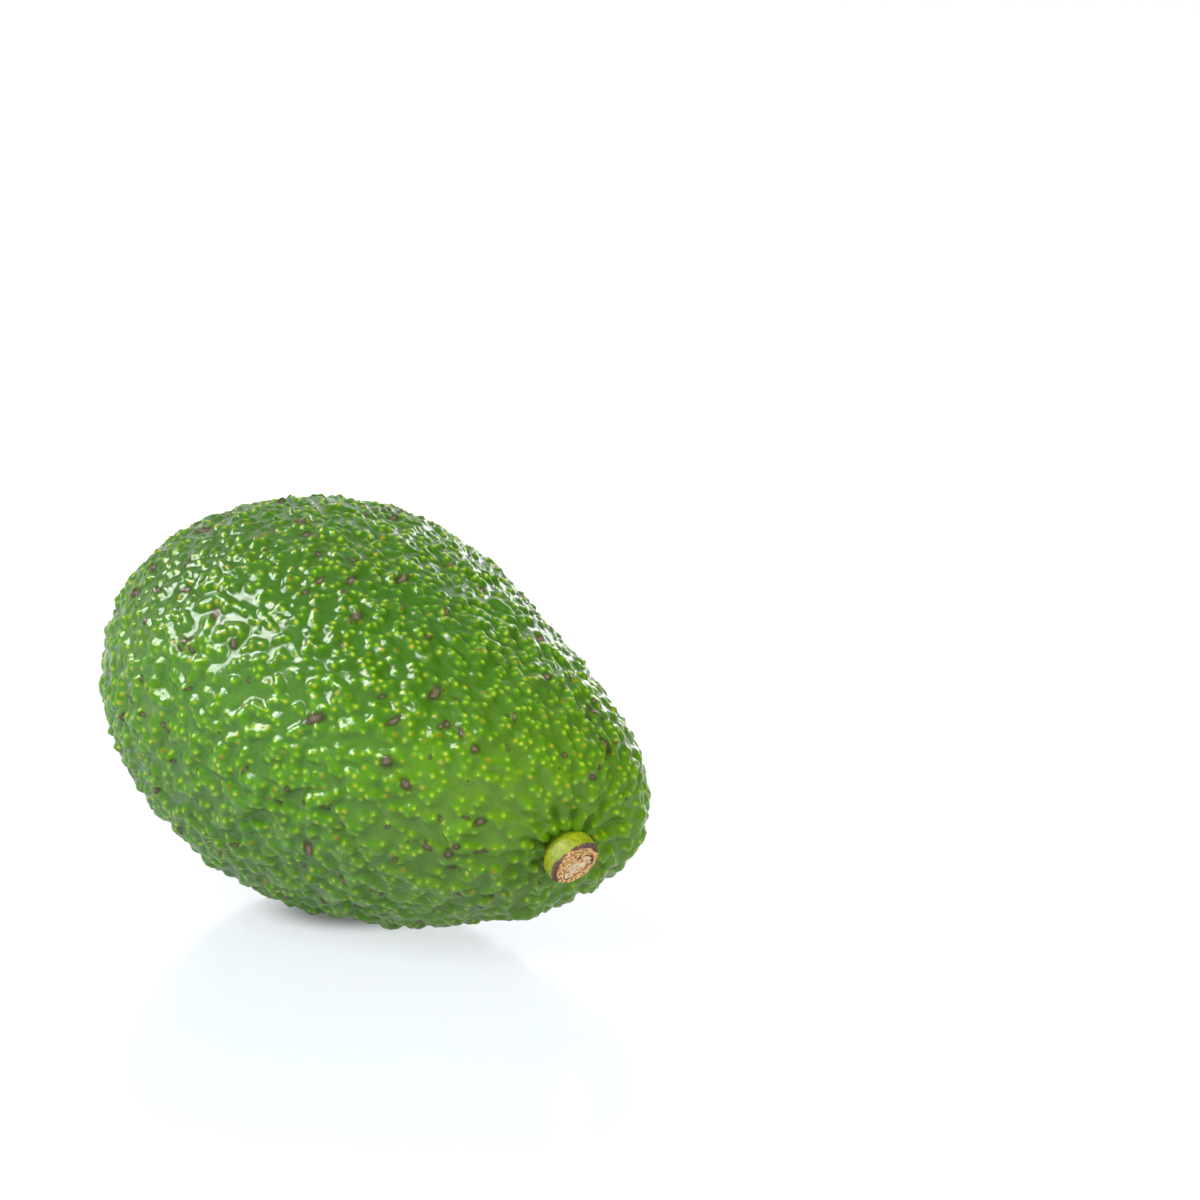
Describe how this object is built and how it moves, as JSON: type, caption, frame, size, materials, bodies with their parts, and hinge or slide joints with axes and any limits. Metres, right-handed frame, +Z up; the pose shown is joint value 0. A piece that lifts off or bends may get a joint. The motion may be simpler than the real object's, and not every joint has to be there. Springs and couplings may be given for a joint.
{
  "type": "avocado",
  "caption": "Whole green avocado with pebbled skin, lying on its side, with the button of its stem still on.",
  "frame": {"origin": "on the surface that the fruit rests on, in its flat resting spot, straight under its centre of mass", "axes": "+Z up, +X level along the fruit towards its stem end, +Y to the left of that"},
  "size_m": [0.1007, 0.0728, 0.0636],
  "materials": {
    "skin": "pebbled, waxy satin",
    "stem": "matte, corky"
  },
  "bodies": {
    "root": {"fruit": "skin", "stem": "stem"}
  },
  "joints": []
}
